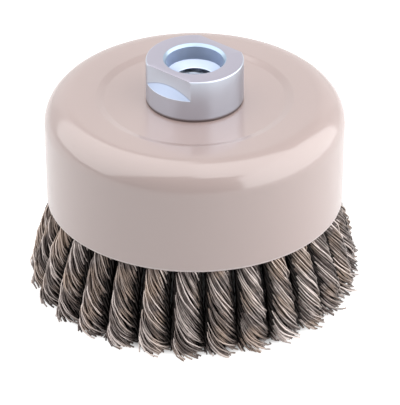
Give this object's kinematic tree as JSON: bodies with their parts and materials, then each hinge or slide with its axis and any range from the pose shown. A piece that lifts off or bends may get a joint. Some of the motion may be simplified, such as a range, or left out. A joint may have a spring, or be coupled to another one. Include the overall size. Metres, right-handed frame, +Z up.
{
  "type": "wire cup brush",
  "caption": "Twist-knot wire cup brush: a painted steel cup with a threaded nut on top and a ring of leaning knots of twisted steel wire below its rim.",
  "frame": {"origin": "on the brush's axis, in the plane of the wire tips that the brush stands on", "axes": "+Z up the brush's axis, from the wire tips towards the threaded nut"},
  "size_m": [0.1008, 0.1008, 0.0748],
  "materials": {
    "cup_paint": "satin",
    "nut_zinc": "zinc plated",
    "plate_steel": "plain pressed",
    "wire_steel": "drawn wire"
  },
  "bodies": {
    "root": {"cup_shell": "cup_paint", "arbor_nut": "nut_zinc", "knot_ring": "plate_steel", "inner_dish": "plate_steel", "rivet_washer": "plate_steel", "wire_knot_01": "wire_steel", "wire_knot_02": "wire_steel", "wire_knot_03": "wire_steel", "wire_knot_04": "wire_steel", "wire_knot_05": "wire_steel", "wire_knot_06": "wire_steel", "wire_knot_07": "wire_steel", "wire_knot_08": "wire_steel", "wire_knot_09": "wire_steel", "wire_knot_10": "wire_steel", "wire_knot_11": "wire_steel", "wire_knot_12": "wire_steel", "wire_knot_13": "wire_steel", "wire_knot_14": "wire_steel", "wire_knot_15": "wire_steel", "wire_knot_16": "wire_steel", "wire_knot_17": "wire_steel", "wire_knot_18": "wire_steel", "wire_knot_19": "wire_steel", "wire_knot_20": "wire_steel", "wire_knot_21": "wire_steel", "wire_knot_22": "wire_steel", "wire_knot_23": "wire_steel", "wire_knot_24": "wire_steel", "wire_knot_25": "wire_steel", "wire_knot_26": "wire_steel", "wire_knot_27": "wire_steel", "wire_knot_28": "wire_steel"}
  },
  "joints": []
}
